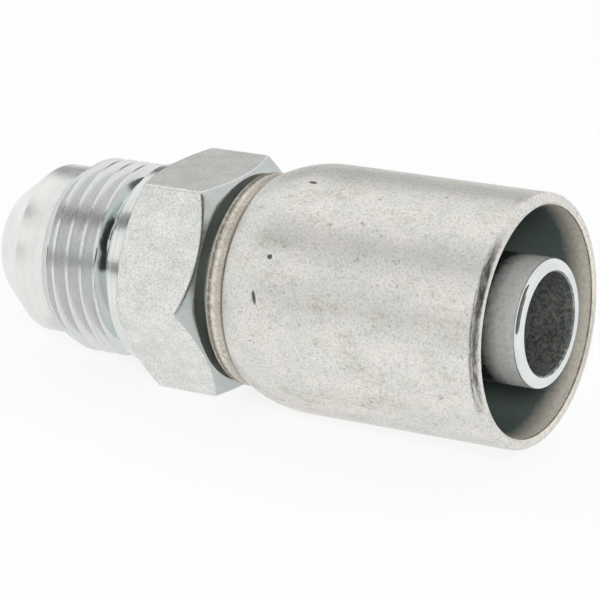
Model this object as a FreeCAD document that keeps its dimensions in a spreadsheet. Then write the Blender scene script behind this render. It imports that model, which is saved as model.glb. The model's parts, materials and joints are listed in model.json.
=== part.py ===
import FreeCAD
import Part
import Sketcher
import math
import os

# Crimp hose fitting: a straight adapter with a 37 degree flare nose and a 3/4-16 thread at one end,
# a wrench hexagon in the middle, and at the other end a serrated stem inside a crimp shell, which
# takes a half-inch hose. It is two pieces: the nipple, turned from hexagon bar, and the shell,
# whose inner flange is swaged into a groove behind the hexagon. The thread is a right-handed helical
# groove with a sharp root, which starts in the lead chamfer and runs out into the undercut.
#
# Both are drawn along X, from the tip of the nose at x = 0 to the end of the stem. At the end they
# are laid down as the fitting comes to rest: one flat of the hexagon is down, and the shell's
# shoulder and the front of the fitting touch the surface.

doc = FreeCAD.newDocument("crimp_hose_fitting")

# Driving dimensions in millimetres, degrees and counts. Lengths follow each other along X. A share
# is how far a diameter lies on the way from the stem to the outside of the shell.
DIMENSIONS = [
    ("stem_dia", 12.1, "hose stem over its serrations"),
    ("stem_wall", 1.25, "wall between the stem and the flow bore"),
    ("stem_len", 27.4, "hose stem behind the shoulder"),
    ("stem_end_bevel", 0.25, "outer edge of the stem end"),
    ("tip_land", 0.65, "width of the flat ring at the tip of the nose"),
    ("tip_bevel", 0.15, "length of the broken edge of the tip"),
    ("seat_half_angle", 37.0, "flare seat, measured from the axis"),
    ("nose_bevel", 0.3, "half the length of the broken edge between seat and pilot"),
    ("pilot_len", 3.2, "plain cylinder behind the seat"),
    ("thread_dia", 19.0, "3/4-16 UNF major diameter"),
    ("thread_len", 7.05, "threaded length with its lead chamfer"),
    ("lead_angle", 32.0, "lead chamfer of the thread, from the axis"),
    ("lead_depth", 1.2, "from the thread's major diameter down to the pilot"),
    ("thread_pitch", 1.5875, "sixteen threads to the inch"),
    ("thread_depth_share", 0.6134, "depth of the thread as a share of its pitch"),
    ("thread_crest_share", 0.16, "flat on the crest of the thread as a share of its pitch"),
    ("thread_lead_in", 0.31, "turns of the cutter's path in front of the lead chamfer"),
    ("cutter_reach", 0.1, "how far the thread cutter stands proud, and its gap to the collar"),
    ("relief_depth", 1.15, "undercut behind the thread"),
    ("relief_len", 1.7, "undercut behind the thread"),
    ("relief_slope", 30.0, "front side of the undercut, from a plane across the axis"),
    ("collar_step", 0.52, "round collar in front of the hexagon, below its flats"),
    ("collar_len", 1.35, "round collar in front of the hexagon"),
    ("hex_corner_proud", 0.033, "corners of the 13/16 inch hexagon over the shell, on diameter"),
    ("hex_len", 8.95, "hexagon with both chamfers"),
    ("hex_front_chamfer", 30.0, "from the plane of the front face"),
    ("hex_rear_step", 0.29, "circle left on the rear face, below the flats"),
    ("hex_rear_chamfer", 36.0, "from the plane of the rear face"),
    ("neck_share", 0.436, "neck between the hexagon and the shell"),
    ("neck_len", 1.15, "neck between the hexagon and the shell"),
    ("lock_groove_share", 0.265, "groove that holds the flange of the shell"),
    ("flange_len", 2.4, "thickness of the flange of the shell"),
    ("flange_play", 0.05, "clearance round the flange and behind it"),
    ("lock_shoulder_share", 0.42, "shoulder behind the flange"),
    ("lock_shoulder_len", 1.0, "shoulder behind the flange"),
    ("serration_count", 3, "serrations along the stem"),
    ("serration_pitch", 5.0, "each is a ramp that the hose slides up and a square back"),
    ("serration_depth_share", 0.4, "depth of a serration as a share of the stem's wall"),
    ("serration_inset", 1.2, "from the shoulder to the first serration"),
    ("shell_dia", 23.8, "shell, outside"),
    ("shell_len", 29.8, "shell from lip to rim"),
    ("lip_share", 0.726, "lip of the shell, outside"),
    ("lip_len", 1.75, "lip of the shell"),
    ("lip_bevel", 0.2, "outer edge of the lip"),
    ("crease_width", 0.3, "crease between lip and dome"),
    ("crease_depth", 0.25, "crease between lip and dome"),
    ("dome_start_share", 0.756, "domed shoulder, part of a ball, where it leaves the crease"),
    ("cavity_share", 0.82, "smooth mouth of the shell, inside"),
    ("cavity_floor_share", 0.505, "flat floor of the cavity"),
    ("cavity_cone_len", 3.6, "sloping end of the cavity"),
    ("tooth_share", 0.762, "inside the gripping ridges of the shell"),
    ("tooth_crest", 0.8, "flat on each gripping ridge"),
    ("tooth_flank", 0.35, "length of each sloping side of a ridge"),
    ("tooth_gap_count", 2, "gaps between the gripping ridges"),
    ("tooth_pitch", 5.0, "gripping ridges inside the shell"),
    ("tooth_gap_share", 0.847, "inside the shell between the ridges"),
    ("rim_edge", 0.3, "outer edge of the rim"),
    ("rim_bevel", 0.2, "bevel inside the rim"),
]

# Sizes worked out from the driving dimensions. Places are distances from the tip of the nose.
STATIONS = [
    ("bore_dia", "dims.stem_dia - 2 * dims.stem_wall"),
    ("tip_dia", "bore_dia + 2 * dims.tip_land"),
    ("pilot_dia", "dims.thread_dia - 2 * dims.lead_depth"),
    ("relief_dia", "dims.thread_dia - 2 * dims.relief_depth"),
    ("thread_depth", "dims.thread_depth_share * dims.thread_pitch"),
    ("groove_half", "(1 - dims.thread_crest_share) * dims.thread_pitch / 2"),
    ("cutter_half", "groove_half * (thread_depth + dims.cutter_reach) / thread_depth"),
    ("hex_corner_dia", "dims.shell_dia + dims.hex_corner_proud"),
    ("hex_flats", "hex_corner_dia * cos(30 deg)"),
    ("collar_dia", "hex_flats - 2 * dims.collar_step"),
    ("hex_rear_dia", "hex_flats - 2 * dims.hex_rear_step"),
    ("shell_rise", "dims.shell_dia - dims.stem_dia"),
    ("neck_dia", "dims.stem_dia + dims.neck_share * shell_rise"),
    ("lock_groove_dia", "dims.stem_dia + dims.lock_groove_share * shell_rise"),
    ("flange_bore_dia", "lock_groove_dia + 2 * dims.flange_play"),
    ("lock_shoulder_dia", "dims.stem_dia + dims.lock_shoulder_share * shell_rise"),
    ("cavity_floor_dia", "dims.stem_dia + dims.cavity_floor_share * shell_rise"),
    ("lip_dia", "dims.stem_dia + dims.lip_share * shell_rise"),
    ("dome_start_dia", "dims.stem_dia + dims.dome_start_share * shell_rise"),
    ("tooth_dia", "dims.stem_dia + dims.tooth_share * shell_rise"),
    ("cavity_dia", "dims.stem_dia + dims.cavity_share * shell_rise"),
    ("tooth_gap_dia", "dims.stem_dia + dims.tooth_gap_share * shell_rise"),
    ("cone_end", "(pilot_dia - tip_dia) / 2 / tan(dims.seat_half_angle * 1 deg)"),
    ("pilot_end", "cone_end + dims.pilot_len"),
    ("lead_end", "pilot_end + dims.lead_depth / tan(dims.lead_angle * 1 deg)"),
    ("thread_end", "pilot_end + dims.thread_len"),
    ("relief_front", "thread_end + dims.relief_depth * tan(dims.relief_slope * 1 deg)"),
    ("collar_start", "thread_end + dims.relief_len"),
    ("cutter_start", "pilot_end - dims.thread_lead_in * dims.thread_pitch"),
    ("cutter_path", "collar_start - dims.cutter_reach - cutter_half - cutter_start"),
    ("hex_start", "collar_start + dims.collar_len"),
    ("hex_front_edge",
     "hex_start + (hex_corner_dia - collar_dia) / 2 * tan(dims.hex_front_chamfer * 1 deg)"),
    ("hex_end", "hex_start + dims.hex_len"),
    ("hex_rear_edge",
     "hex_end - (hex_corner_dia - hex_rear_dia) / 2 * tan(dims.hex_rear_chamfer * 1 deg)"),
    ("lip_start", "hex_end + dims.neck_len"),
    ("flange_end", "lip_start + dims.flange_len"),
    ("groove_end", "flange_end + dims.flange_play"),
    ("stem_start", "groove_end + dims.lock_shoulder_len"),
    ("stem_end", "stem_start + dims.stem_len"),
    ("serration_start", "stem_start + dims.serration_inset"),
    ("serration_depth", "dims.serration_depth_share * dims.stem_wall"),
    ("crease_start", "lip_start + dims.lip_len"),
    ("dome_start", "crease_start + dims.crease_width"),
    ("dome_end", "dome_start + sqrt(dims.shell_dia ^ 2 - dome_start_dia ^ 2) / 2"),
    ("cavity_cone_end", "flange_end + dims.cavity_cone_len"),
    ("teeth_end", "cavity_cone_end + dims.tooth_crest + dims.tooth_gap_count * dims.tooth_pitch"),
    ("rim", "lip_start + dims.shell_len"),
]


# A cut has to take away more than this, in cubic millimetres.
LEAST_CUT = 0.001


def fill_sheet(name, rows):
    """Add a sheet with one row for each named value, and return it."""
    sheet = doc.addObject("Spreadsheet::Sheet", name)
    for line, row in enumerate(rows, start=1):
        alias, value = row[0], row[1]
        sheet.set("A%d" % line, alias)
        sheet.set("B%d" % line, "=" + value if isinstance(value, str) else str(value))
        sheet.setAlias("B%d" % line, alias)
        if len(row) > 2:
            sheet.set("C%d" % line, row[2])
    doc.recompute()
    return sheet


dims = fill_sheet("dims", DIMENSIONS)
places = fill_sheet("places", STATIONS)


def number(expression):
    """The value of an expression on the sheets, as a plain number."""
    value = places.evalExpression(expression)
    return float(getattr(value, "Value", value))


def new_sketch(body, name, role):
    """Add a sketch to the body on the origin plane that has this role."""
    sketch = body.newObject("Sketcher::SketchObject", name)
    plane = [item for item in body.Origin.OriginFeatures if item.Role == role][0]
    sketch.AttachmentSupport = [(plane, "")]
    sketch.MapMode = "FlatFace"
    return sketch


def bind(sketch, constraint, label, expression):
    """Add a dimension to the sketch and tie it to an expression."""
    place = sketch.addConstraint(constraint)
    sketch.renameConstraint(place, label)
    sketch.setExpression("Constraints." + label, expression)


def ball_centre(start, end):
    """The point of the axis that is as far from one corner as from the other."""
    along = (end.Length ** 2 - start.Length ** 2) / (end.x - start.x) / 2
    return FreeCAD.Vector(along, 0, 0)


def ball_arc(start, end):
    """The arc between two corners that turns into part of a ball about the axis."""
    centre = ball_centre(start, end)
    angles = [math.atan2(spot.y, spot.x - centre.x) for spot in (end, start)]
    circle = Part.Circle(centre, FreeCAD.Vector(0, 0, 1), (start - centre).Length)
    return Part.ArcOfCircle(circle, angles[0], angles[1])


def draw_section(sketch, corners, crowned=()):
    """Draw a closed half section in (x, radius) through the corners.

    A corner is a name with the expressions of its distance along the axis and of its radius.
    The side that leaves a crowned corner is an arc about a point of the axis.
    """
    spots = [FreeCAD.Vector(number(x), number(radius), 0) for _, x, radius in corners]
    following = spots[1:] + spots[:1]
    for (name, _, _), start, end in zip(corners, spots, following):
        if name in crowned:
            sketch.addGeometry(ball_arc(start, end), False)
        else:
            sketch.addGeometry(Part.LineSegment(start, end), False)
    # An arc runs from the corner that it ends at to the corner that it leaves.
    leaving = [2 if name in crowned else 1 for name, _, _ in corners]
    for index, (name, x, radius) in enumerate(corners):
        after = (index + 1) % len(corners)
        join = Sketcher.Constraint("Coincident", index, 3 - leaving[index], after, leaving[after])
        sketch.addConstraint(join)
        if x == "0":
            sketch.addConstraint(Sketcher.Constraint("PointOnObject", index, leaving[index], -2))
        else:
            along = Sketcher.Constraint("DistanceX", -1, 1, index, leaving[index], number(x))
            bind(sketch, along, name + "_x", x)
        across = Sketcher.Constraint("DistanceY", -1, 1, index, leaving[index], number(radius))
        bind(sketch, across, name + "_radius", radius)
        if name in crowned:
            sketch.addConstraint(Sketcher.Constraint("PointOnObject", index, 3, -1))


def revolve(body, kind, name, sketch):
    """Turn the sketch about its own horizontal axis, to add or to cut."""
    feature = body.newObject("PartDesign::" + kind, name)
    feature.Profile = (sketch, [""])
    feature.ReferenceAxis = (sketch, ["H_Axis"])
    feature.Angle = 360.0
    doc.recompute()
    return feature


def repeat_along_axis(body, name, feature, sketch, spacing, count):
    """Repeat a feature towards the end of the stem."""
    pattern = body.newObject("PartDesign::LinearPattern", name)
    pattern.Originals = [feature]
    pattern.Direction = (sketch, ["H_Axis"])
    pattern.Mode = "Spacing"
    pattern.setExpression("Offset", spacing)
    pattern.setExpression("Occurrences", count)
    body.Tip = pattern
    doc.recompute()
    return pattern


def require_less(body, before, name):
    """Make sure that the last cut took material away, and return the new volume."""
    after = body.Shape.Volume
    if not after < before - LEAST_CUT:
        raise RuntimeError(name + " cut nothing")
    return after


def make_nipple():
    """The turned nipple: nose, thread, collar, hexagon, locking groove and serrated stem."""
    body = doc.addObject("PartDesign::Body", "nipple")
    body.Label = "nipple"
    section = new_sketch(body, "nipple_section", "XZ_Plane")
    draw_section(section, [
        ("tip_front", "0", "places.tip_dia / 2 - dims.tip_bevel"),
        ("tip_back", "dims.tip_bevel",
         "places.tip_dia / 2 + dims.tip_bevel * tan(dims.seat_half_angle * 1 deg)"),
        ("seat_back", "places.cone_end - dims.nose_bevel",
         "places.pilot_dia / 2 - dims.nose_bevel * tan(dims.seat_half_angle * 1 deg)"),
        ("pilot_front", "places.cone_end + dims.nose_bevel", "places.pilot_dia / 2"),
        ("pilot_back", "places.pilot_end", "places.pilot_dia / 2"),
        ("lead_back", "places.lead_end", "dims.thread_dia / 2"),
        ("thread_back", "places.thread_end", "dims.thread_dia / 2"),
        ("relief_front", "places.relief_front", "places.relief_dia / 2"),
        ("relief_back", "places.collar_start", "places.relief_dia / 2"),
        ("collar_front", "places.collar_start", "places.collar_dia / 2"),
        ("collar_back", "places.hex_start", "places.collar_dia / 2"),
        ("corner_front", "places.hex_front_edge", "places.hex_corner_dia / 2"),
        ("corner_back", "places.hex_rear_edge", "places.hex_corner_dia / 2"),
        ("hex_back", "places.hex_end", "places.hex_rear_dia / 2"),
        ("neck_front", "places.hex_end", "places.neck_dia / 2"),
        ("neck_back", "places.lip_start", "places.neck_dia / 2"),
        ("groove_front", "places.lip_start", "places.lock_groove_dia / 2"),
        ("groove_back", "places.groove_end", "places.lock_groove_dia / 2"),
        ("shoulder_front", "places.groove_end", "places.lock_shoulder_dia / 2"),
        ("shoulder_back", "places.stem_start", "places.lock_shoulder_dia / 2"),
        ("stem_front", "places.stem_start", "dims.stem_dia / 2"),
        ("stem_back", "places.stem_end - dims.stem_end_bevel", "dims.stem_dia / 2"),
        ("end_outer", "places.stem_end", "dims.stem_dia / 2 - dims.stem_end_bevel"),
        ("bore_back", "places.stem_end", "places.bore_dia / 2"),
        ("bore_front", "0", "places.bore_dia / 2"),
    ], ("collar_back", "corner_back"))
    revolve(body, "Revolution", "turned_blank", section)
    volume = body.Shape.Volume

    flats = new_sketch(body, "hexagon", "YZ_Plane")
    flats.setExpression("AttachmentOffset.Base.z", "places.hex_end")
    draw_hexagon_surround(flats)
    cut = body.newObject("PartDesign::Pocket", "wrench_flats")
    cut.Profile = (flats, [""])
    cut.setExpression("Length", "dims.hex_len")
    doc.recompute()
    volume = require_less(body, volume, "wrench_flats")

    cut_thread(body)
    volume = require_less(body, volume, "thread")

    notch = new_sketch(body, "serration", "XZ_Plane")
    draw_section(notch, [
        ("crest", "places.serration_start", "dims.stem_dia / 2"),
        ("root", "places.serration_start + dims.serration_pitch",
         "dims.stem_dia / 2 - places.serration_depth"),
        ("outside_back", "places.serration_start + dims.serration_pitch",
         "dims.stem_dia / 2 + places.serration_depth"),
        ("outside_front", "places.serration_start",
         "dims.stem_dia / 2 + places.serration_depth"),
    ])
    groove = revolve(body, "Groove", "serration_groove", notch)
    repeat_along_axis(body, "serrations", groove, notch,
                      "dims.serration_pitch", "dims.serration_count")
    require_less(body, volume, "serrations")
    return body


def cut_thread(body):
    """Sweep the pointed section of the thread cutter along its helix."""
    cutter = new_sketch(body, "thread_cutter", "XZ_Plane")
    outside = "dims.thread_dia / 2 + dims.cutter_reach"
    draw_section(cutter, [
        ("root", "places.cutter_start", "dims.thread_dia / 2 - places.thread_depth"),
        ("outside_front", "places.cutter_start - places.cutter_half", outside),
        ("outside_back", "places.cutter_start + places.cutter_half", outside),
    ])
    thread = body.newObject("PartDesign::SubtractiveHelix", "thread")
    thread.Profile = (cutter, [""])
    thread.ReferenceAxis = (cutter, ["H_Axis"])
    thread.Mode = "pitch-height-angle"
    thread.setExpression("Pitch", "dims.thread_pitch")
    thread.setExpression("Height", "places.cutter_path")
    doc.recompute()


def draw_hexagon_surround(sketch):
    """Draw all that lies outside the hexagon: the hexagon inside a circle round its corners."""
    corner = number("places.hex_corner_dia") / 2
    spots = []
    for turn in range(6):
        angle = math.radians(60 * turn)
        spots.append(FreeCAD.Vector(corner * math.cos(angle), corner * math.sin(angle), 0))
    for start, end in zip(spots, spots[1:] + spots[:1]):
        sketch.addGeometry(Part.LineSegment(start, end), False)
    middle = FreeCAD.Vector(0, 0, 0)
    upward = FreeCAD.Vector(0, 0, 1)
    guide = sketch.addGeometry(Part.Circle(middle, upward, corner), True)
    outside = sketch.addGeometry(Part.Circle(middle, upward, 2 * corner), False)
    for side in range(6):
        sketch.addConstraint(Sketcher.Constraint("Coincident", side, 2, (side + 1) % 6, 1))
        sketch.addConstraint(Sketcher.Constraint("PointOnObject", side, 1, guide))
        if side > 0:
            sketch.addConstraint(Sketcher.Constraint("Equal", 0, side))
    # The second side runs along the sketch's horizontal axis, so that flats face up and down.
    sketch.addConstraint(Sketcher.Constraint("Horizontal", 1))
    for ring, label, size in ((guide, "corners", "places.hex_corner_dia"),
                              (outside, "outside", "2 * places.hex_corner_dia")):
        sketch.addConstraint(Sketcher.Constraint("Coincident", ring, 3, -1, 1))
        bind(sketch, Sketcher.Constraint("Diameter", ring, number(size)), label, size)


def make_crimp_shell():
    """The crimp shell: swaged flange and lip, domed shoulder, toothed cavity and open mouth."""
    body = doc.addObject("PartDesign::Body", "crimp_shell")
    body.Label = "crimp_shell"
    section = new_sketch(body, "shell_section", "XZ_Plane")
    draw_section(section, [
        ("lip_front", "places.lip_start", "places.lip_dia / 2 - dims.lip_bevel"),
        ("lip_edge", "places.lip_start + dims.lip_bevel", "places.lip_dia / 2"),
        ("lip_back", "places.crease_start", "places.lip_dia / 2"),
        ("crease", "places.crease_start + dims.crease_width / 2",
         "places.lip_dia / 2 - dims.crease_depth"),
        ("dome_front", "places.dome_start", "places.dome_start_dia / 2"),
        ("dome_back", "places.dome_end", "dims.shell_dia / 2"),
        ("rim_edge", "places.rim - dims.rim_edge", "dims.shell_dia / 2"),
        ("rim_outer", "places.rim", "dims.shell_dia / 2 - dims.rim_edge"),
        ("bevel_outer", "places.rim", "places.cavity_dia / 2 + dims.rim_bevel"),
        ("bevel_inner", "places.rim - dims.rim_bevel", "places.cavity_dia / 2"),
        ("mouth_front", "places.teeth_end", "places.cavity_dia / 2"),
        ("ridge_back", "places.teeth_end - dims.tooth_flank", "places.tooth_dia / 2"),
        ("ridge_front", "places.cavity_cone_end", "places.tooth_dia / 2"),
        ("floor_outer", "places.flange_end", "places.cavity_floor_dia / 2"),
        ("flange_back", "places.flange_end", "places.flange_bore_dia / 2"),
        ("flange_front", "places.lip_start", "places.flange_bore_dia / 2"),
    ], ("dome_front",))
    revolve(body, "Revolution", "formed_cup", section)
    volume = body.Shape.Volume

    gap = new_sketch(body, "tooth_gap", "XZ_Plane")
    gap_front = "places.cavity_cone_end + dims.tooth_crest"
    gap_back = "places.cavity_cone_end + dims.tooth_pitch"
    draw_section(gap, [
        ("inside_front", gap_front, "places.tooth_dia / 2 - dims.tooth_flank"),
        ("ridge_front", gap_front, "places.tooth_dia / 2"),
        ("floor_front", gap_front + " + dims.tooth_flank", "places.tooth_gap_dia / 2"),
        ("floor_back", gap_back + " - dims.tooth_flank", "places.tooth_gap_dia / 2"),
        ("ridge_back", gap_back, "places.tooth_dia / 2"),
        ("inside_back", gap_back, "places.tooth_dia / 2 - dims.tooth_flank"),
    ])
    groove = revolve(body, "Groove", "tooth_gap_groove", gap)
    repeat_along_axis(body, "tooth_gaps", groove, gap, "dims.tooth_pitch", "dims.tooth_gap_count")
    require_less(body, volume, "tooth_gaps")
    return body


def lean_angle():
    """How far the axis leans when the fitting lies on a flat of its hexagon, in degrees.

    The shell touches with its dome, and the nose end with the first full thread, the
    collar or the front of the flat, whichever meets the surface first.
    """
    collar_back = FreeCAD.Vector(number("places.hex_start"), number("places.collar_dia") / 2, 0)
    corner_front = FreeCAD.Vector(
        number("places.hex_front_edge"), number("places.hex_corner_dia") / 2, 0)
    chamfer = ball_centre(collar_back, corner_front)
    flat = number("places.hex_flats") / 2
    flat_front = chamfer.x - math.sqrt((corner_front - chamfer).Length ** 2 - flat ** 2)
    touching = [
        (number("places.lead_end"), number("dims.thread_dia") / 2),
        (number("places.collar_start"), collar_back.y),
        (flat_front, flat),
    ]
    leans = []
    for x, radius in touching:
        ahead = number("places.dome_end") - x
        ball = number("dims.shell_dia") / 2
        leans.append(math.asin(ball / math.hypot(ahead, radius)) - math.atan2(radius, ahead))
    return math.degrees(min(leans))


def lay_down(bodies):
    """Lean the bodies as they lie at rest, with the origin under the middle of their box."""
    lean = FreeCAD.Rotation(FreeCAD.Vector(0, 1, 0), -lean_angle())
    whole = Part.makeCompound([body.Shape for body in bodies])
    whole.Placement = FreeCAD.Placement(FreeCAD.Vector(0, 0, 0), lean)
    box = whole.optimalBoundingBox(False, False)
    middle = box.Center
    shift = FreeCAD.Vector(-middle.x, -middle.y, -box.ZMin)
    for body in bodies:
        body.Placement = FreeCAD.Placement(shift, lean)
    doc.recompute()
    print("lean %.3f degrees, box %.2f x %.2f x %.2f, nose tip at x %.3f z %.3f" % (
        lean_angle(), box.XLength, box.YLength, box.ZLength, shift.x, shift.z))


def check_document(bodies):
    """Stop if any object of the document failed, or a body holds no single valid solid."""
    for item in doc.Objects:
        if "Invalid" in item.State or "Error" in item.State:
            raise RuntimeError(item.Name + " failed: " + " ".join(item.State))
    for body in bodies:
        if body.Shape.isNull() or not body.Shape.isValid() or len(body.Shape.Solids) != 1:
            raise RuntimeError(body.Label + " is not one valid solid")


def main():
    bodies = [make_nipple(), make_crimp_shell()]
    lay_down(bodies)
    check_document(bodies)
    os.makedirs("parts", exist_ok=True)
    for body in bodies:
        print("%s: %.1f mm3" % (body.Label, body.Shape.Volume))
        body.Shape.exportStep(os.path.join("parts", body.Label + ".step"))


main()
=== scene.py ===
import json
import math

import bmesh
import bpy
import numpy as np
from mathutils import Euler, Matrix, Vector


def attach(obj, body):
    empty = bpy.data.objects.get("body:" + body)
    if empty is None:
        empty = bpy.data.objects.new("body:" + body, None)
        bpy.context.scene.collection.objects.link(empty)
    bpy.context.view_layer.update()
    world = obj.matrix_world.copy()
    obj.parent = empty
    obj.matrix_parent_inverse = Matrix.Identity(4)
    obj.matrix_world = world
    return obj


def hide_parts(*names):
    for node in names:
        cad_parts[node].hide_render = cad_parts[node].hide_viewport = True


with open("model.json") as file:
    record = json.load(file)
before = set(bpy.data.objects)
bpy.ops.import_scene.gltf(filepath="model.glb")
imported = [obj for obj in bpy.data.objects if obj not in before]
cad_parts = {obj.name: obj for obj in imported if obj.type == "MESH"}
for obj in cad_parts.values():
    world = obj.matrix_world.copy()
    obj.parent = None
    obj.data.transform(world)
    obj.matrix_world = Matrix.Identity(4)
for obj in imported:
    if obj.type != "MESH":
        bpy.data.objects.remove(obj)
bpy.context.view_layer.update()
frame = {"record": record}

# A crimp hose fitting of zinc-plated steel. Two pieces are dressed: the nipple, with its flare
# nose, thread, wrench hexagon and hose stem, and the crimp shell. Each is turned about the
# fitting's axis, so its outline is a list of corners: distance from the tip of the nose, radius,
# edge rounding. Lengths are in millimetres. An angle about the axis is 0 at the top and grows
# towards the camera.
MM = 0.001
SHARP_ANGLE = math.radians(35)
# Where one finish takes over from another, their outlines stand this far apart.
SEAM = 0.01
BEVEL_SEAM = 0.05
STEM_SEAM = 0.1

MOUNTS = {mount["name"]: mount for mount in frame["record"]["mounts"]}
TIP = Vector(MOUNTS["flare_seat"]["pos_m"])
AXIS = -Vector(MOUNTS["flare_seat"]["axis"]).normalized()
SIDE = Vector((0, -1, 0))
RISE = SIDE.cross(AXIS).normalized()
LEAN = math.atan2(AXIS.z, AXIS.x)

# Nose and thread
BORE = MOUNTS["flow_bore"]["dims"]["r_mm"]
TIP_RADIUS = 5.45
TIP_EDGE = 0.35
BORE_BEVEL = 0.15
SEAT_END = 3.782
SEAT_EDGE = 0.6
PILOT_RADIUS = 8.3
PILOT_END = 6.982
THREAD_RADIUS = 9.5
THREAD_DEPTH = 0.974
THREAD_PITCH = 1.5875
THREAD_SHIFT = 0.19
THREAD_ROWS = 24
# Where the flat crest ends and the flat root begins, in pitches from the middle of the crest.
CREST_END = 1 / 12
ROOT_START = 5 / 12
LEAD_ANGLE = math.radians(32)
THREAD_END = 14.032
RELIEF_RADIUS = 8.35
RELIEF_FRONT = 14.696

# Collar and hexagon
COLLAR_START = 15.732
COLLAR_RADIUS = 9.8
COLLAR_EDGE = 0.12
COLLAR_FACE = 0.24
HEX_START = 17.082
HEX_END = 26.032
HEX_CORNER = 11.917
HEX_APOTHEM = HEX_CORNER * math.cos(math.radians(30))
HEX_REAR_RADIUS = 10.03
FRONT_CHAMFER = math.radians(30)
REAR_CHAMFER = math.radians(36)
HEX_EDGE = 0.07

# Neck, locking groove and hose stem, whose last stretch is brighter
LIP_START = 27.182
NECK_RADIUS = 8.6
GROOVE_RADIUS = 7.6
GROOVE_END = 29.632
SHOULDER_RADIUS = 8.507
STEM_START = 30.632
STEM_RADIUS = MOUNTS["hose_stem"]["dims"]["r_mm"]
SERRATIONS = 3
SERRATION_START = 31.832
SERRATION_PITCH = 5.0
SERRATION_DEPTH = 0.5
STEM_END = 58.032
STEM_EDGE = 0.5
STEM_BRIGHT = 0.52

# Crimp shell
LIP_RADIUS = 10.297
CREASE_START = 28.932
CREASE_DEPTH = 0.25
DOME_START = 29.232
DOME_START_RADIUS = 10.473
DOME_END = 34.883
SHELL_RADIUS = MOUNTS["shell_outside"]["dims"]["r_mm"]
FLANGE_BORE = 7.65
FLANGE_END = 29.582
FLOOR_RADIUS = 9.004
CAVITY_CONE_END = 33.182
RIDGE_RADIUS = 10.508
RIDGE_CREST = 0.8
RIDGE_FLANK = 0.35
GAPS = 2
GAP_PITCH = 5.0
GAP_RADIUS = 11.005
TEETH_END = 43.982
CAVITY_RADIUS = 10.847
RIM = 56.982
RIM_EDGE = 0.72
RIM_BEVEL = 0.2

# Samples round the nipple and the shell, and along the shell, finer where the pits are.
NIPPLE_SAMPLES = 360
SHELL_STEP = 1.2
PIT_STEP = 0.3
PIT_REACH = 5
DOME_SAMPLES = 60
PITS_END = 36.5
PIT_SPACING = 0.1
PLAIN_SPACING = 0.8

# Pits in the shell: place along the axis, angle in degrees, length and width in millimetres,
# turn in degrees from the axis, and depth.
PITS = [
    (35.13, 12.9, 0.95, 0.40, 5, 0.14),
    (34.55, 56.2, 0.50, 0.45, 0, 0.16),
    (33.53, 75.3, 1.45, 0.36, 75, 0.14),
]

# Stretches along the shell: where each begins, is full, starts to fade and ends.
PIT_STRETCH = (32.0, 32.4, 37.0, 37.4)
SCUFF_AND_REFLECTION_STRETCH = (56.12, 56.32, 56.88, 56.95)
# The side of the rim with scuffs and a painted dark reflection, and how far out towards it
# these begin and are full.
SCUFF_AND_REFLECTION_SIDE = math.radians(72)
SCUFF_AND_REFLECTION_START = 8.4
SCUFF_AND_REFLECTION_FULL = 10.4


def linear(code):
    """A colour's hex code as linear red, green, blue and alpha."""
    shares = [int(code[start:start + 2], 16) / 255 for start in (1, 3, 5)]
    return [s / 12.92 if s <= 0.04045 else ((s + 0.055) / 1.055) ** 2.4 for s in shares] + [1.0]


def add(tree, kind, inputs=None, **settings):
    """Add a node, with its settings and with values or links for its inputs."""
    node = tree.nodes.new(kind)
    for name, value in settings.items():
        setattr(node, name, value)
    for name, value in (inputs or {}).items():
        if isinstance(value, bpy.types.NodeSocket):
            tree.links.new(value, node.inputs[name])
        else:
            node.inputs[name].default_value = value
    return node


def placed(name, data):
    """A new object in the scene that holds the data."""
    thing = bpy.data.objects.new(name, data)
    bpy.context.scene.collection.objects.link(thing)
    return thing


def reckon(tree, operation, first, second=0.0, third=0.0):
    """The result of a Math node."""
    node = add(tree, "ShaderNodeMath", {0: first, 1: second, 2: third}, operation=operation)
    return node.outputs[0]


# Shapes

def rounded(corners, steps=5):
    """The outline through the corners, each but the first and last rounded by its own radius."""
    outline = []
    for index, (x, radius, size) in enumerate(corners):
        if not size or index in (0, len(corners) - 1):
            outline.append((x, radius))
            continue
        here = Vector((x, radius))
        back = (Vector(corners[index - 1][:2]) - here).normalized()
        ahead = (Vector(corners[index + 1][:2]) - here).normalized()
        half = back.angle(ahead) / 2
        centre = here + (back + ahead).normalized() * (size / math.sin(half))
        start = here + back * (size / math.tan(half)) - centre
        end = here + ahead * (size / math.tan(half)) - centre
        sweep = start.angle_signed(end)
        for step in range(steps + 1):
            spoke = start.copy()
            spoke.rotate(Matrix.Rotation(-sweep * step / steps, 2))
            outline.append(tuple(centre + spoke))
    return outline


def ball(start, end):
    """Centre along the axis and radius of the ball that passes through two outline points."""
    centre = (end[0] ** 2 + end[1] ** 2 - start[0] ** 2 - start[1] ** 2) / (end[0] - start[0]) / 2
    return centre, math.hypot(start[0] - centre, start[1])


def ball_arc(start, end, steps):
    """Points of the ball's outline from one outline point to another, ends left out."""
    centre, size = ball(start, end)
    angles = [math.atan2(spot[1], spot[0] - centre) for spot in (start, end)]
    points = []
    for step in range(1, steps):
        angle = angles[0] + (angles[1] - angles[0]) * step / steps
        points.append((centre + size * math.cos(angle), size * math.sin(angle)))
    return points


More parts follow.
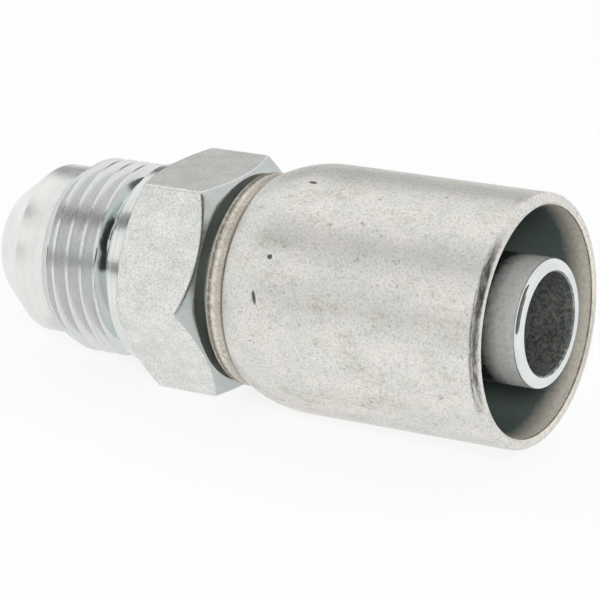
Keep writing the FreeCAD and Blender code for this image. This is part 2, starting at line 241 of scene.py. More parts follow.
class Turning:
    """Rings of points about the axis, each with the finish of the band that follows it."""

    def __init__(self, angles):
        self.angles = angles
        self.rings = []
        self.bands = []

    def ring(self, x, radius, finish):
        self.rings.append((x + 0 * self.angles, radius + 0 * self.angles))
        self.bands.append(finish)

    def outline(self, points, finish):
        for x, radius in points:
            self.ring(x, radius, finish)

    def points(self):
        """Every ring's points in the row frame, as one array of rings by angles by xyz."""
        x = np.array([ring[0] for ring in self.rings])[..., None] * MM
        radius = np.array([ring[1] for ring in self.rings])[..., None] * MM
        rise = np.cos(self.angles)[None, :, None] * np.array(RISE)
        side = np.sin(self.angles)[None, :, None] * np.array(SIDE)
        return np.array(TIP) + x * np.array(AXIS) + radius * (rise + side)

    def mesh(self, name, closed):
        """A mesh of quads between the rings, joined end to start where it is closed."""
        spots = self.points().reshape(-1, 3)
        around = len(self.angles)
        bands = len(self.rings) if closed else len(self.rings) - 1
        faces = []
        finishes = []
        for band in range(bands):
            near = band * around
            far = (band + 1) % len(self.rings) * around
            for step in range(around):
                after = (step + 1) % around
                faces.append((near + step, near + after, far + after, far + step))
                finishes.append(self.bands[band])
        mesh = bpy.data.meshes.new(name)
        mesh.from_pydata(spots.tolist(), [], faces)
        mesh.polygons.foreach_set("material_index", finishes)
        return mesh


def finish_piece(name, meshes, materials):
    """Join meshes into one smooth-shaded object, with its faces outwards."""
    work = bmesh.new()
    for mesh in meshes:
        work.from_mesh(mesh)
        bpy.data.meshes.remove(mesh)
    bmesh.ops.remove_doubles(work, verts=work.verts, dist=0.002 * MM)
    bmesh.ops.recalc_face_normals(work, faces=work.faces)
    for face in work.faces:
        face.smooth = True
    mesh = bpy.data.meshes.new(name)
    work.to_mesh(mesh)
    work.free()
    mesh.set_sharp_from_angle(angle=SHARP_ANGLE)
    for material in materials:
        mesh.materials.append(material)
    piece = placed(name, mesh)
    piece.modifiers.new("weighted", "WEIGHTED_NORMAL").keep_sharp = True
    return baked(piece)


def baked(piece):
    """Turn the piece's modifiers into its plain mesh."""
    graph = bpy.context.evaluated_depsgraph_get()
    mesh = bpy.data.meshes.new_from_object(piece.evaluated_get(graph))
    piece.modifiers.clear()
    old = piece.data
    piece.data = mesh
    bpy.data.meshes.remove(old)
    mesh.name = piece.name
    return piece


def half_steps(count):
    """Even angles about the axis, set half a step off, so that two of them straddle each corner."""
    return (np.arange(count) + 0.5) * 2 * math.pi / count


def thread_tree():
    """Geometry nodes for one external thread, cut back by a lead chamfer and by the undercut.

    The rows of a grid follow the helix, so that crest and root have clean edges. Rows past either
    end are pressed onto the end ring, and fall together there.
    """
    tree = bpy.data.node_groups.new("thread_turns", "GeometryNodeTree")
    face = tree.interface
    sizes = ["Pitch", "Crest radius", "Depth", "Start", "End", "Shift", "Start radius",
             "Lead slope", "Relief place", "Relief slope", "Half step"]
    for size in sizes:
        face.new_socket(size, in_out="INPUT", socket_type="NodeSocketFloat")
    for count in ("Columns", "Rows", "Rows per turn"):
        face.new_socket(count, in_out="INPUT", socket_type="NodeSocketInt")
    for way in ("Origin", "Axis", "Rise", "Side"):
        face.new_socket(way, in_out="INPUT", socket_type="NodeSocketVector")
    face.new_socket("Finish", in_out="INPUT", socket_type="NodeSocketMaterial")
    face.new_socket("Geometry", in_out="OUTPUT", socket_type="NodeSocketGeometry")
    given = add(tree, "NodeGroupInput").outputs

    def sums(operation, first, second=0.0, third=0.0):
        return reckon(tree, operation, first, second, third)

    def scaled(direction, amount):
        node = add(tree, "ShaderNodeVectorMath", {0: direction, "Scale": amount}, operation="SCALE")
        return node.outputs[0]

    def summed(first, second):
        node = add(tree, "ShaderNodeVectorMath", {0: first, 1: second}, operation="ADD")
        return node.outputs[0]

    columns = sums("ADD", given["Columns"], 1.0)
    rows = sums("ADD", given["Rows"], 1.0)
    grid = add(tree, "GeometryNodeMeshGrid",
               {"Size X": 1.0, "Size Y": 1.0, "Vertices X": columns, "Vertices Y": rows})
    here = add(tree, "GeometryNodeInputPosition").outputs[0]
    where = add(tree, "ShaderNodeSeparateXYZ", {0: here}).outputs
    turn = sums("ADD", where["X"], 0.5)
    angle = sums("MULTIPLY_ADD", turn, 2 * math.pi, given["Half step"])
    row = sums("MULTIPLY", sums("ADD", where["Y"], 0.5), given["Rows"])
    phase = sums("DIVIDE", row, given["Rows per turn"])
    # Distance along the axis, pressed between the two ends.
    shifted = sums("ADD", turn, given["Shift"])
    turns = sums("ADD", sums("SUBTRACT", phase, 1.0), shifted)
    free = sums("MULTIPLY_ADD", turns, given["Pitch"], given["Start"])
    x = sums("MINIMUM", sums("MAXIMUM", free, given["Start"]), given["End"])
    # Radius: a trapezoid wave along the row, under the lead chamfer and the side of the undercut.
    travel = sums("SUBTRACT", x, given["Start"])
    pitches = sums("ADD", sums("DIVIDE", travel, given["Pitch"]), 1.0)
    wave = sums("PINGPONG", sums("SUBTRACT", pitches, shifted), 0.5)
    form = add(tree, "ShaderNodeMapRange", {
        "Value": wave, "From Min": CREST_END, "From Max": ROOT_START,
        "To Min": given["Crest radius"],
        "To Max": sums("SUBTRACT", given["Crest radius"], given["Depth"])})
    lead = sums("MULTIPLY_ADD", travel, given["Lead slope"], given["Start radius"])
    relief = sums("MULTIPLY_ADD", sums("SUBTRACT", given["Relief place"], x),
                  given["Relief slope"], given["Crest radius"])
    radius = sums("MINIMUM", sums("MINIMUM", form.outputs[0], lead), relief)
    # The first row keeps the nose's radius. It should lie on the nose's end ring too, but over the
    # last 0.19 of its turn it lies up to 0.3 mm past it, and a narrow opening is left there.
    radius = sums("MULTIPLY_ADD", sums("LESS_THAN", row, 0.5),
                  sums("SUBTRACT", given["Start radius"], radius), radius)
    upward = scaled(given["Rise"], sums("MULTIPLY", radius, sums("COSINE", angle)))
    across = scaled(given["Side"], sums("MULTIPLY", radius, sums("SINE", angle)))
    along = summed(given["Origin"], scaled(given["Axis"], x))
    wound = add(tree, "GeometryNodeSetPosition", {
        "Geometry": grid.outputs["Mesh"], "Position": summed(along, summed(upward, across))})
    whole = add(tree, "GeometryNodeRealizeInstances", {"Geometry": wound.outputs[0]})
    dressed = add(tree, "GeometryNodeSetMaterial",
                  {"Geometry": whole.outputs[0], "Material": given["Finish"]})
    add(tree, "NodeGroupOutput", {"Geometry": dressed.outputs[0]})
    return tree


def thread_mesh(columns, finish, finish_index, end_index):
    """The turns of the thread as a plain mesh, with the finish of the undercut on its rear end."""
    turns = math.ceil((RELIEF_FRONT - PILOT_END) / THREAD_PITCH + 1 + abs(THREAD_SHIFT))
    values = {
        "Pitch": THREAD_PITCH * MM, "Crest radius": THREAD_RADIUS * MM, "Depth": THREAD_DEPTH * MM,
        "Start": PILOT_END * MM, "End": RELIEF_FRONT * MM, "Shift": THREAD_SHIFT,
        "Start radius": PILOT_RADIUS * MM, "Lead slope": math.tan(LEAD_ANGLE),
        "Relief place": THREAD_END * MM,
        "Relief slope": (THREAD_RADIUS - RELIEF_RADIUS) / (RELIEF_FRONT - THREAD_END),
        "Half step": math.pi / columns, "Columns": columns, "Rows": turns * THREAD_ROWS,
        "Rows per turn": THREAD_ROWS, "Origin": TIP, "Axis": AXIS, "Rise": RISE, "Side": SIDE,
        "Finish": finish}
    maker = placed("thread_maker", bpy.data.meshes.new("thread_maker"))
    nodes = maker.modifiers.new("thread", "NODES")
    nodes.node_group = thread_tree()
    for socket in nodes.node_group.interface.items_tree:
        if socket.name in values:
            nodes[socket.identifier] = values[socket.name]
    graph = bpy.context.evaluated_depsgraph_get()
    mesh = bpy.data.meshes.new_from_object(maker.evaluated_get(graph))
    bpy.data.objects.remove(maker)
    mesh.materials.clear()
    centres = np.zeros(len(mesh.polygons) * 3)
    mesh.polygons.foreach_get("center", centres)
    along = (centres.reshape(-1, 3) - np.array(TIP)) @ np.array(AXIS) / MM
    indices = np.where(along > THREAD_END, end_index, finish_index)
    mesh.polygons.foreach_set("material_index", indices)
    return mesh


def make_nipple(finishes):
    """The nipple: everything but the thread is turned or milled from the same rings."""
    angles = half_steps(NIPPLE_SAMPLES)
    zone = list(finishes).index
    work = Turning(angles)
    work.outline(rounded([
        (RELIEF_FRONT, RELIEF_RADIUS, 0),
        (COLLAR_START, RELIEF_RADIUS, 0.15),
        (COLLAR_START, COLLAR_RADIUS - COLLAR_FACE - SEAM, 0),
    ]), zone("undercut"))
    work.outline(rounded([
        (COLLAR_START, COLLAR_RADIUS - COLLAR_FACE, 0),
        (COLLAR_START, COLLAR_RADIUS, COLLAR_EDGE),
        (HEX_START, COLLAR_RADIUS, 0),
    ]), zone("collar"))
    # The hexagon: at each angle the flats meet both chamfers at their own distance.
    sector = math.radians(60)
    flats = HEX_APOTHEM / np.cos((angles + sector / 2) % sector - sector / 2)
    corner_front = HEX_START + (HEX_CORNER - COLLAR_RADIUS) * math.tan(FRONT_CHAMFER)
    corner_back = HEX_END - (HEX_CORNER - HEX_REAR_RADIUS) * math.tan(REAR_CHAMFER)
    for near, far, sign in (((HEX_START, COLLAR_RADIUS), (corner_front, HEX_CORNER), -1),
                            ((HEX_END, HEX_REAR_RADIUS), (corner_back, HEX_CORNER), 1)):
        centre, size = ball(near, far)
        rings = []
        for share in (0, 0.25, 0.5, 0.75, 1):
            radius = near[1] + (flats - HEX_EDGE - near[1]) * share
            x = centre + sign * np.sqrt(size ** 2 - radius ** 2)
            rings.append((x, radius, zone("chamfer")))
        edge = centre + sign * np.sqrt(size ** 2 - flats ** 2)
        rings.append((edge - sign * HEX_EDGE, flats, zone("hexagon")))
        rings.append((edge - sign * 2 * HEX_EDGE, flats, zone("hexagon")))
        if sign > 0:
            rings.reverse()
        for ring in rings:
            work.ring(*ring)
    teeth = []
    for count in range(SERRATIONS):
        crest = SERRATION_START + SERRATION_PITCH * count
        teeth.append((crest, STEM_RADIUS, 0))
        teeth.append((crest + SERRATION_PITCH, STEM_RADIUS - SERRATION_DEPTH, 0))
    smooth = teeth[-1][0]
    work.outline(rounded([
        (HEX_END, HEX_REAR_RADIUS - SEAM, 0),
        (HEX_END, NECK_RADIUS, 0.15),
        (LIP_START, NECK_RADIUS, 0.1),
        (LIP_START, GROOVE_RADIUS, 0),
        (GROOVE_END, GROOVE_RADIUS, 0),
        (GROOVE_END, SHOULDER_RADIUS, 0),
        (STEM_START, SHOULDER_RADIUS, 0.1),
        (STEM_START, STEM_RADIUS, 0.2),
        *teeth,
        (smooth, STEM_RADIUS, 0),
        (smooth + STEM_SEAM, STEM_RADIUS, 0),
    ]), zone("neck"))
    work.outline([
        (smooth + 2 * STEM_SEAM, STEM_RADIUS),
        (STEM_END - STEM_BRIGHT - SEAM, STEM_RADIUS),
    ], zone("stem"))
    work.outline(rounded([
        (STEM_END - STEM_BRIGHT, STEM_RADIUS, 0),
        (STEM_END, STEM_RADIUS, STEM_EDGE),
        (STEM_END, BORE + BORE_BEVEL + BEVEL_SEAM, 0),
    ]), zone("stem_end"))
    work.outline([
        (STEM_END, BORE + BORE_BEVEL),
        (STEM_END - BORE_BEVEL, BORE),
        (BORE_BEVEL, BORE),
    ], zone("bore"))
    work.outline(rounded([
        (0, BORE + BORE_BEVEL, 0),
        (0, TIP_RADIUS, TIP_EDGE),
        (SEAT_END, PILOT_RADIUS, SEAT_EDGE),
        (PILOT_END, PILOT_RADIUS, 0),
    ]), zone("nose"))
    thread = thread_mesh(len(angles), finishes["thread"], zone("thread"), zone("undercut"))
    return finish_piece("nipple_dressed", [work.mesh("turned", False), thread],
                        list(finishes.values()))


def pitted(x, radius, angles):
    """The shell's radius with its pits pressed in."""
    for place, angle, length, width, turn, depth in PITS:
        along = x - place
        around = (angles - math.radians(angle)) * SHELL_RADIUS
        cosine = math.cos(math.radians(turn))
        sine = math.sin(math.radians(turn))
        first = (along * cosine + around * sine) / (length / 2)
        second = (around * cosine - along * sine) / (width / 2)
        radius = radius - depth * np.exp(-(first ** 2 + second ** 2) ** 2)
    return radius


def make_shell(finishes):
    """The crimp shell: lip, crease, dome, plain cylinder, rim and toothed cavity."""
    spots = [np.arange(0, 360, SHELL_STEP)]
    for _, angle, *_ in PITS:
        spots.append(np.arange(angle - PIT_REACH, angle + PIT_REACH, PIT_STEP))
    angles = np.radians(np.unique(np.round(np.concatenate(spots), 3)))
    zone = list(finishes).index
    work = Turning(angles)
    work.outline(rounded([
        (LIP_START, FLANGE_BORE, 0),
        (LIP_START, LIP_RADIUS, 0.25),
        (CREASE_START, LIP_RADIUS, 0.2),
        (CREASE_START + (DOME_START - CREASE_START) / 2, LIP_RADIUS - CREASE_DEPTH, 0.06),
        (DOME_START, DOME_START_RADIUS, 0),
    ]), zone("lip"))
    dome = ball_arc((DOME_START, DOME_START_RADIUS), (DOME_END, SHELL_RADIUS), DOME_SAMPLES)
    work.outline(dome, zone("outside"))
    for x in np.concatenate([np.arange(DOME_END, PITS_END, PIT_SPACING),
                             np.arange(PITS_END, RIM - 1.0, PLAIN_SPACING)]):
        work.ring(x, SHELL_RADIUS, zone("outside"))
    for index, (x, radius) in enumerate(work.rings):
        if x[0] > DOME_START:
            work.rings[index] = (x, pitted(x, radius, angles))
    ridges = [(TEETH_END, CAVITY_RADIUS), (TEETH_END - RIDGE_FLANK, RIDGE_RADIUS)]
    for gap in reversed(range(GAPS)):
        front = CAVITY_CONE_END + RIDGE_CREST + gap * GAP_PITCH
        back = CAVITY_CONE_END + (gap + 1) * GAP_PITCH
        ridges += [(back, RIDGE_RADIUS), (back - RIDGE_FLANK, GAP_RADIUS),
                   (front + RIDGE_FLANK, GAP_RADIUS), (front, RIDGE_RADIUS)]
    work.outline(rounded([
        (RIM - 0.9, SHELL_RADIUS, 0),
        (RIM, SHELL_RADIUS, RIM_EDGE),
        (RIM, CAVITY_RADIUS + RIM_BEVEL, 0),
    ]), zone("outside"))
    work.outline([
        (RIM - 2 * SEAM, CAVITY_RADIUS + RIM_BEVEL - 2 * SEAM),
        (RIM - RIM_BEVEL, CAVITY_RADIUS),
        (RIM - 4, CAVITY_RADIUS),
        *ridges,
        (CAVITY_CONE_END, RIDGE_RADIUS),
        (FLANGE_END, FLOOR_RADIUS),
        (FLANGE_END, FLANGE_BORE),
    ], zone("cavity"))
    return finish_piece("shell_dressed", [work.mesh("formed", True)], list(finishes.values()))


# Materials

def in_millimetres(tree):
    """Coordinates along the fitting: x from the tip of the nose, y and z across, in millimetres."""
    here = add(tree, "ShaderNodeTexCoord").outputs["Object"]
    offset = -(Euler((0, LEAN, 0)).to_matrix() @ TIP) / MM
    mapping = add(tree, "ShaderNodeMapping", {
        "Vector": here, "Location": offset, "Rotation": (0, LEAN, 0), "Scale": (1 / MM,) * 3})
    return mapping.outputs[0]


def new_material(name, metallic):
    """An empty material with its shader, and the shader's tree."""
    material = bpy.data.materials.new(name)
    material.use_nodes = True
    tree = material.node_tree
    tree.nodes.clear()
    shader = add(tree, "ShaderNodeBsdfPrincipled", {"Metallic": metallic})
    add(tree, "ShaderNodeOutputMaterial", {"Surface": shader.outputs[0]})
    return material, tree, shader


def noise(tree, vector, scale, detail=3.0, roughness=0.5):
    """A noise pattern whose features are about 1 / scale millimetres apart."""
    node = add(tree, "ShaderNodeTexNoise", {
        "Vector": vector, "Scale": scale, "Detail": detail, "Roughness": roughness})
    return node.outputs["Fac"]


def ramp(tree, value, low, high, to_low=0.0, to_high=1.0):
    """The value, stretched from one range to another and held at its ends."""
    node = add(tree, "ShaderNodeMapRange", {
        "Value": value, "From Min": low, "From Max": high, "To Min": to_low, "To Max": to_high})
    return node.outputs[0]


def blend(tree, factor, first, second):
    """A mix of two colours, each a hex code or a socket."""
    node = add(tree, "ShaderNodeMix", data_type="RGBA")
    tree.links.new(factor, node.inputs["Factor"])
    for socket, value in ((node.inputs[6], first), (node.inputs[7], second)):
        if isinstance(value, str):
            socket.default_value = linear(value)
        else:
            tree.links.new(value, socket)
    return node.outputs[2]


def stretched(tree, vector, along, across):
    """The coordinates, scaled along and across the axis."""
    node = add(tree, "ShaderNodeMapping", {"Vector": vector, "Scale": (along, across, across)})
    return node.outputs[0]


def parts(tree, vector):
    """The three coordinates of a vector."""
    return add(tree, "ShaderNodeSeparateXYZ", {0: vector}).outputs


def times(tree, first, second):
    """The product of two values."""
    return reckon(tree, "MULTIPLY", first, second)


def stripe(tree, along, middle, inner, outer, strength):
    """A line round the axis: full within inner of its middle, and nothing from outer onwards."""
    away = reckon(tree, "ABSOLUTE", reckon(tree, "SUBTRACT", along, middle))
    return ramp(tree, away, inner, outer, strength, 0.0)


def within(tree, along, stretch):
    """1 in the middle of a stretch along the axis, fading to 0 at its ends."""
    start, full, fading, end = stretch
    return times(tree, ramp(tree, along, start, full), ramp(tree, along, end, fading))


def roughen(tree, shader, heights, depth):
    """A bump from several patterns, each with its share of the depth in millimetres."""
    total = 0.0
    for pattern, share in heights:
        total = reckon(tree, "MULTIPLY_ADD", pattern, share, total)
    bump = add(tree, "ShaderNodeBump", {"Height": total, "Distance": depth * MM, "Strength": 1.0})
    tree.links.new(bump.outputs[0], shader.inputs["Normal"])


def bright_zinc(name, light, shade, roughness, metallic, feed, grain, speck=0.0):
    """Bright zinc on turned steel: a clear silvery sheen, with a tint that drifts.

    The passivated film gives faint teal and violet, the lathe leaves feed marks round the axis, and
    dust and handling leave small specks. The real feed marks are finer than the ones drawn here.
    """
    dust = "#A9ACA8"
    material, tree, shader = new_material(name, metallic)
    here = in_millimetres(tree)
    colour = blend(tree, ramp(tree, noise(tree, here, 0.28), 0.38, 0.62), light, shade)
    rings = noise(tree, stretched(tree, here, 9.0, 0.04), 1.0, 2.0)
    colour = blend(tree, ramp(tree, rings, 0.45, 0.75, 0.0, 0.18), colour, dust)
    specks = noise(tree, here, 4.5, 2.0, 0.7)
    if speck:
        colour = blend(tree, ramp(tree, specks, 0.56, 0.70, 0.0, speck), colour, dust)
    tree.links.new(colour, shader.inputs["Base Color"])
    cloud = noise(tree, here, 0.9)
    tree.links.new(ramp(tree, cloud, 0.3, 0.7, roughness - 0.04, roughness + 0.06),
                   shader.inputs["Roughness"])
    roughen(tree, shader, [(rings, feed), (specks, grain)], 0.02)
    return material


def drawn_zinc(name):
    """Bright zinc on cold-drawn hexagon bar: a fine bright and dark grain with no direction.

    The grain of the drawn and blasted bar is finer than the one drawn here.
    """
    material, tree, shader = new_material(name, 0.85)
    here = in_millimetres(tree)
    clouds = noise(tree, here, 0.5, 5.0, 0.7)
    colour = blend(tree, ramp(tree, clouds, 0.38, 0.62), "#F4F5F1", "#E0E2DE")
    grain = noise(tree, here, 6.0, 3.0, 0.8)
    colour = blend(tree, ramp(tree, grain, 0.46, 0.64, 0.0, 0.7), colour, "#A3A5A0")
    sparkle = noise(tree, stretched(tree, here, 6.4, 5.4), 1.0, 3.0, 0.8)
    colour = blend(tree, ramp(tree, sparkle, 0.50, 0.62, 0.0, 0.7), colour, "#F6F6F3")
    tree.links.new(colour, shader.inputs["Base Color"])
    tree.links.new(ramp(tree, grain, 0.35, 0.7, 0.33, 0.48), shader.inputs["Roughness"])
    roughen(tree, shader, [(grain, 1.0), (sparkle, -0.6)], 0.022)
    return material


def rim_scuffs_and_painted_reflection(tree, spot, ragged):
    """Scuffs and a painted dark reflection on one side of the rounded rim, in streaks."""
    facing = reckon(tree, "MULTIPLY_ADD", spot[1], -math.sin(SCUFF_AND_REFLECTION_SIDE),
                    times(tree, spot[2], math.cos(SCUFF_AND_REFLECTION_SIDE)))
    scuffs_and_reflection = times(tree, ramp(tree, facing, SCUFF_AND_REFLECTION_START, SCUFF_AND_REFLECTION_FULL),
                    within(tree, spot[0], SCUFF_AND_REFLECTION_STRETCH))
    return times(tree, scuffs_and_reflection, ramp(tree, ragged, 0.40, 0.56, 0.25, 1.0))


def sunk_pits(tree, spot):
    """Where the surface is nearer to the axis than the ball and the cylinder, round the pits."""
    squares = reckon(tree, "ADD", reckon(tree, "POWER", spot[1], 2.0),
                     reckon(tree, "POWER", spot[2], 2.0))
    away = reckon(tree, "POWER", squares, 0.5)
    ahead = reckon(tree, "MAXIMUM", reckon(tree, "SUBTRACT", DOME_END, spot[0]), 0.0)
    proper = reckon(tree, "POWER", reckon(tree, "SUBTRACT", SHELL_RADIUS ** 2,
                                          reckon(tree, "POWER", ahead, 2.0)), 0.5)
    sunk = ramp(tree, reckon(tree, "SUBTRACT", proper, away), 0.03, 0.09)
    return times(tree, sunk, within(tree, spot[0], PIT_STRETCH))


def dull_zinc(name, light, shade, stain, roughness, metallic, specks_share):
    """Dull zinc on formed steel: pale grey with a mottled, handled look.

    Forming and handling leave soft streaks along the axis, pinkish and green-grey clouds, brown
    stains and a dense fine speckle.
    """
    material, tree, shader = new_material(name, metallic)
    here = in_millimetres(tree)
    spot = parts(tree, here)
    clouds = noise(tree, stretched(tree, here, 0.22, 0.34), 1.0, 5.0, 0.65)
    colour = blend(tree, ramp(tree, clouds, 0.36, 0.64), light, shade)
    streaks = noise(tree, stretched(tree, here, 0.035, 0.5), 1.0, 3.0)
    colour = blend(tree, ramp(tree, streaks, 0.45, 0.72, 0.0, 0.45), colour, shade)
    patches = noise(tree, stretched(tree, here, 0.22, 0.4), 1.0, 5.0, 0.65)
    breakup = noise(tree, here, 2.2, 3.0, 0.7)
    stained = times(tree, ramp(tree, patches, 0.52, 0.68), ramp(tree, breakup, 0.38, 0.58))
    colour = blend(tree, times(tree, stained, 0.6), colour, stain)
    fine = noise(tree, here, 4.2, 3.0, 0.8)
    colour = blend(tree, ramp(tree, fine, 0.49, 0.62, 0.0, specks_share), colour, "#9E9B93")
    bright = noise(tree, stretched(tree, here, 3.8, 4.4), 1.0, 3.0, 0.8)
    colour = blend(tree, ramp(tree, bright, 0.50, 0.66, 0.0, 0.5), colour, "#F6F4F0")
    flecks = noise(tree, stretched(tree, here, 1.5, 1.9), 1.0, 2.0, 0.6)
    colour = blend(tree, ramp(tree, flecks, 0.66, 0.74, 0.0, 0.5), colour, "#6B6860")
    ragged = noise(tree, stretched(tree, here, 5.0, 0.6), 1.0, 4.0, 0.7)
    # Scuffs on the rim, with a painted dark reflection on the side towards the camera.
    colour = blend(tree, times(tree, rim_scuffs_and_painted_reflection(tree, spot, ragged), 0.85), colour, "#45433F")
    # The pits are darker. Painted shade lies along the lip's front edge and in the crease
    # behind the lip.
    colour = blend(tree, times(tree, sunk_pits(tree, spot), 0.85), colour, "#3A3A36")
    middle = (LIP_START + CREASE_START) / 2
    dirt_and_painted_shade = stripe(tree, spot[0], middle - 0.42, 0.05, 0.28, 0.9)
    colour = blend(tree, times(tree, dirt_and_painted_shade, ramp(tree, breakup, 0.34, 0.50)), colour, "#6F675A")
    # Painted highlight along the middle of the lip, broken up by noise.
    painted_lip_highlight = stripe(tree, spot[0], middle + 0.05, 0.08, 0.3, 0.8)
    colour = blend(tree, times(tree, painted_lip_highlight, ramp(tree, breakup, 0.62, 0.42)), colour, "#EDE7DE")
    # Painted shade in the crease behind the lip.
    crease = stripe(tree, spot[0], (CREASE_START + DOME_START) / 2, 0.0, 0.4, 0.4)
    colour = blend(tree, crease, colour, "#55524A")
    tree.links.new(colour, shader.inputs["Base Color"])
    tree.links.new(ramp(tree, fine, 0.35, 0.70, roughness - 0.05, roughness + 0.12),
                   shader.inputs["Roughness"])
    roughen(tree, shader, [(fine, 0.7), (breakup, 0.8), (ragged, 0.4)], 0.025)
    return material


def cavity_zinc(name, deep, mouth, start, end, roughness, metallic, edge=None):
    """Thin zinc inside the fitting: greenish, with painted shade that darkens it in the depth.

    Start and end say where along the axis the painted shade fades out towards the mouth.
    Dirt draws a thin line round an edge.
    """
    material, tree, shader = new_material(name, metallic)
    here = in_millimetres(tree)
    spot = parts(tree, here)
    breakup = noise(tree, here, 1.6, 4.0, 0.7)
    ragged = reckon(tree, "ADD", breakup, spot[0])
    # Painted shade: dark in the depth, fading out between start and end towards the mouth.
    colour = blend(tree, ramp(tree, ragged, start, end), deep, mouth)
    fine = noise(tree, here, 2.6, 3.0, 0.7)
    colour = blend(tree, ramp(tree, fine, 0.46, 0.66, 0.0, 0.28), colour, "#8A877F")
    if edge:
        dirt_and_painted_shade = times(tree, stripe(tree, spot[0], edge, 0.03, 0.12, 0.8),
                     ramp(tree, breakup, 0.38, 0.5, 0.5, 1.0))
        colour = blend(tree, dirt_and_painted_shade, colour, "#3E3E3A")
    tree.links.new(colour, shader.inputs["Base Color"])
    tree.links.new(ramp(tree, fine, 0.35, 0.7, roughness - 0.05, roughness + 0.1),
                   shader.inputs["Roughness"])
    roughen(tree, shader, [(fine, 0.6), (breakup, 0.8)], 0.012)
    return material


def drilled_steel(name):
    """The drilled bore: thin zinc over drill marks, dark, with small bright facets."""
    material, tree, shader = new_material(name, 0.7)
    here = in_millimetres(tree)
    coarse = noise(tree, here, 2.4, 4.0, 0.8)
    colour = blend(tree, ramp(tree, coarse, 0.42, 0.62), "#686D69", "#B2B4AF")
    tree.links.new(colour, shader.inputs["Base Color"])
    tree.links.new(ramp(tree, coarse, 0.35, 0.65, 0.45, 0.25), shader.inputs["Roughness"])
    roughen(tree, shader, [(coarse, 1.0)], 0.12)
    return material


def nipple_finishes():
    """Finishes of the nipple, in the order of its zones."""
    return {
        "nose": bright_zinc(
            "zinc_plated_nose", "#EEEFEC", "#E5E8E4", 0.31, 0.9, 0.4, 0.5, 0.10),
        "thread": bright_zinc(
            "zinc_plated_thread", "#E0E4E3", "#E4E1E3", 0.24, 0.92, 0.2, 0.2, 0.2),
        "undercut": bright_zinc(
            "zinc_plated_undercut", "#E0E4E2", "#D8DFDF", 0.09, 1.0, 0.1, 0.1),
        "collar": bright_zinc(
            "zinc_plated_collar", "#E6E8E5", "#DFE2E0", 0.20, 1.0, 0.4, 0.3),
        "chamfer": bright_zinc(
            "zinc_plated_chamfer", "#C4C9C7", "#B8BFBD", 0.24, 1.0, 0.5, 0.4, 0.2),
        "hexagon": drawn_zinc("zinc_plated_hexagon_bar"),
        # Painted shade: the neck and the hexagon's rear face are darker, for the gap by the shell.
        "neck": bright_zinc(
            "zinc_plated_neck_painted_shade", "#9FA7A2", "#858D88", 0.30, 0.8, 0.5, 0.8, 0.3),
        # Painted shadow: the stem is dark where the shell's rim shades it, and plain at the mouth.
        "stem": cavity_zinc(
            "zinc_plated_stem", "#1E2523", "#EDEEEB", 54.6, 56.3, 0.16, 0.45),
        "stem_end": bright_zinc(
            "zinc_plated_stem_end", "#E4E8E7", "#DADFDF", 0.10, 0.9, 0.2, 0.2),
        "bore": drilled_steel("drilled_bore"),
    }


def shell_finishes():
    """Finishes of the shell: mottled outside, rough lip, and the cavity."""
    return {
        "outside": dull_zinc(
            "dull_zinc_shell", "#ECE7E2", "#D9DBD6", "#B5A892", 0.38, 0.85, 0.45),
        "lip": dull_zinc(
            "dull_zinc_lip", "#D0C8BC", "#B5ADA0", "#94876F", 0.42, 0.75, 0.7),
        # Painted shade: the cavity is dark in the depth, beyond the band lit past the rim and stem.
        "cavity": cavity_zinc(
            "thin_zinc_cavity_painted_shade", "#64716D", "#EAE3D5", 54.5, 56.6, 0.34, 0.3, RIM - RIM_BEVEL - 0.1),
    }


# Pieces

nipple = make_nipple(nipple_finishes())
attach(nipple, "root")
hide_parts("nipple")

shell = make_shell(shell_finishes())
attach(shell, "root")
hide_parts("crimp_shell")


# Studio

# The lamp and the cards stand round this point of the fitting.
MIDDLE = Vector((0, 0, 0.012))


def background_rays(tree):
    """1 for rays of the camera and for those that a glossy or clear surface sends on."""
    rays = add(tree, "ShaderNodeLightPath").outputs
    seen = reckon(tree, "MAXIMUM", rays["Is Camera Ray"], rays["Is Glossy Ray"])
    return reckon(tree, "MAXIMUM", seen, rays["Is Transmission Ray"])


def towards(angle, lean):
    """The direction at an angle about the axis in degrees, leaning towards the hose end."""
    turn = math.radians(angle)
    slant = math.radians(lean)
    across = RISE * math.cos(turn) + SIDE * math.sin(turn)
    return across * math.cos(slant) + AXIS * math.sin(slant)


def make_floor():
    """A wide pale floor, white to the camera and in reflections, that keeps a soft shadow."""
    reach = 3.0
    whiteness = 0.85
    mesh = bpy.data.meshes.new("floor")
    corners = [(-reach, -reach, 0), (reach, -reach, 0), (reach, reach, 0), (-reach, reach, 0)]
    mesh.from_pydata(corners, [], [(0, 1, 2, 3)])
    material = bpy.data.materials.new("white_paper")
    material.use_nodes = True
    tree = material.node_tree
    tree.nodes.clear()
    matt = add(tree, "ShaderNodeBsdfDiffuse", {"Color": linear("#F2F2F2")})
    glow = add(tree, "ShaderNodeEmission", {"Color": linear("#FFFFFF"), "Strength": 1.0})
    share = times(tree, background_rays(tree), whiteness)
    both = add(tree, "ShaderNodeMixShader", {0: share, 1: matt.outputs[0], 2: glow.outputs[0]})
    add(tree, "ShaderNodeOutputMaterial", {"Surface": both.outputs[0]})
    mesh.materials.append(material)
    floor = placed("floor", mesh)


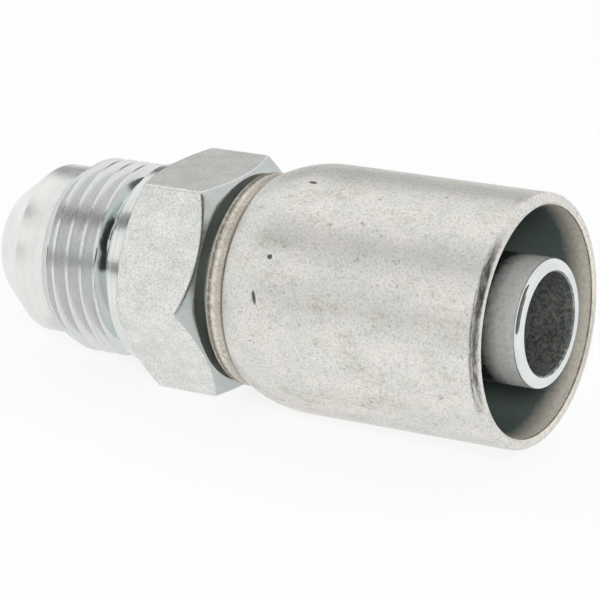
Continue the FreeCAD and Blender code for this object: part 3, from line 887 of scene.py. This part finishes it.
def make_world():
    """White all round to the camera and in reflections, and even soft light on matt surfaces."""
    world = bpy.data.worlds.new("light_tent")
    bpy.context.scene.world = world
    world.use_nodes = True
    tree = world.node_tree
    tree.nodes.clear()
    white = add(tree, "ShaderNodeBackground", {"Color": linear("#FFFFFF"), "Strength": 1.0})
    light = add(tree, "ShaderNodeBackground", {"Color": linear("#FFFFFF"), "Strength": 1.05})
    both = add(tree, "ShaderNodeMixShader", {0: background_rays(tree), 1: light.outputs[0],
                                             2: white.outputs[0]})
    add(tree, "ShaderNodeOutputWorld", {"Surface": both.outputs[0]})


def make_lamp():
    """A soft box beside the camera, a little above it, that lights the mouth as far as it can."""
    distance = 0.5
    direction = towards(58, 34)
    data = bpy.data.lights.new("soft_box", "AREA")
    data.size = 0.12
    data.energy = 1.5
    lamp = placed("soft_box", data)
    lamp.location = MIDDLE + direction * distance
    lamp.rotation_euler = direction.to_track_quat("Z", "Y").to_euler()
    lamp.visible_glossy = False


def make_card(name, direction, width, height, colour):
    """A card of the light tent, unseen by the camera, that gives the metal something to show.

    Its width lies along the fitting.
    """
    distance = 0.6
    across = (AXIS - direction * AXIS.dot(direction)).normalized() * width / 2
    upward = direction.cross(across.normalized()) * height / 2
    centre = MIDDLE + direction * distance
    mesh = bpy.data.meshes.new(name)
    mesh.from_pydata([centre + across * a + upward * b
                      for a, b in ((-1, -1), (1, -1), (1, 1), (-1, 1))], [], [(0, 1, 2, 3)])
    material = bpy.data.materials.new(name + "_board")
    material.use_nodes = True
    shader = material.node_tree.nodes["Principled BSDF"]
    shader.inputs["Base Color"].default_value = linear(colour)
    shader.inputs["Roughness"].default_value = 0.9
    mesh.materials.append(material)
    card = placed(name, mesh)
    card.visible_camera = False


def make_cards():
    """A dark card round the camera, and dark and grey ones to the left, at the back and right.

    The metal shows them as its dark bands. Each has its angle about the axis, how far it leans
    towards the hose end, its width, height and shade.
    """
    for name, angle, lean, width, height, shade in (
            ("camera_card", 50, 40, 0.62, 1.00, "#343434"),
            ("upper_card", 25, -31, 0.34, 0.16, "#444444"),
            ("lower_card", 81, -31, 0.30, 0.11, "#707070"),
            ("back_card", -66, -31, 0.34, 0.22, "#6C6E6C"),
            ("side_card", 50, 72, 0.50, 0.44, "#5C605F")):
        make_card(name, towards(angle, lean), width, height, shade)


def make_camera():
    """The camera at the photograph's place and angle, fitted to the circles that it shows."""
    data = bpy.data.cameras.new("camera")
    data.sensor_width = 36.0
    data.lens = 201.4
    data.clip_start = 0.01
    data.clip_end = 20.0
    camera = placed("camera", data)
    place = Vector((154.381, -250.991, 136.122)) * MM
    right = Vector((0.85055526, 0.52551088, 0.01985084))
    up = Vector((-0.22311582, 0.32642343, 0.91851351))
    turn = Matrix((right, up, right.cross(up))).transposed().to_4x4()
    camera.matrix_world = Matrix.Translation(place) @ turn
    bpy.context.scene.camera = camera


make_floor()
make_world()
make_lamp()
make_cards()
make_camera()
bpy.context.scene.view_settings.view_transform = "Standard"
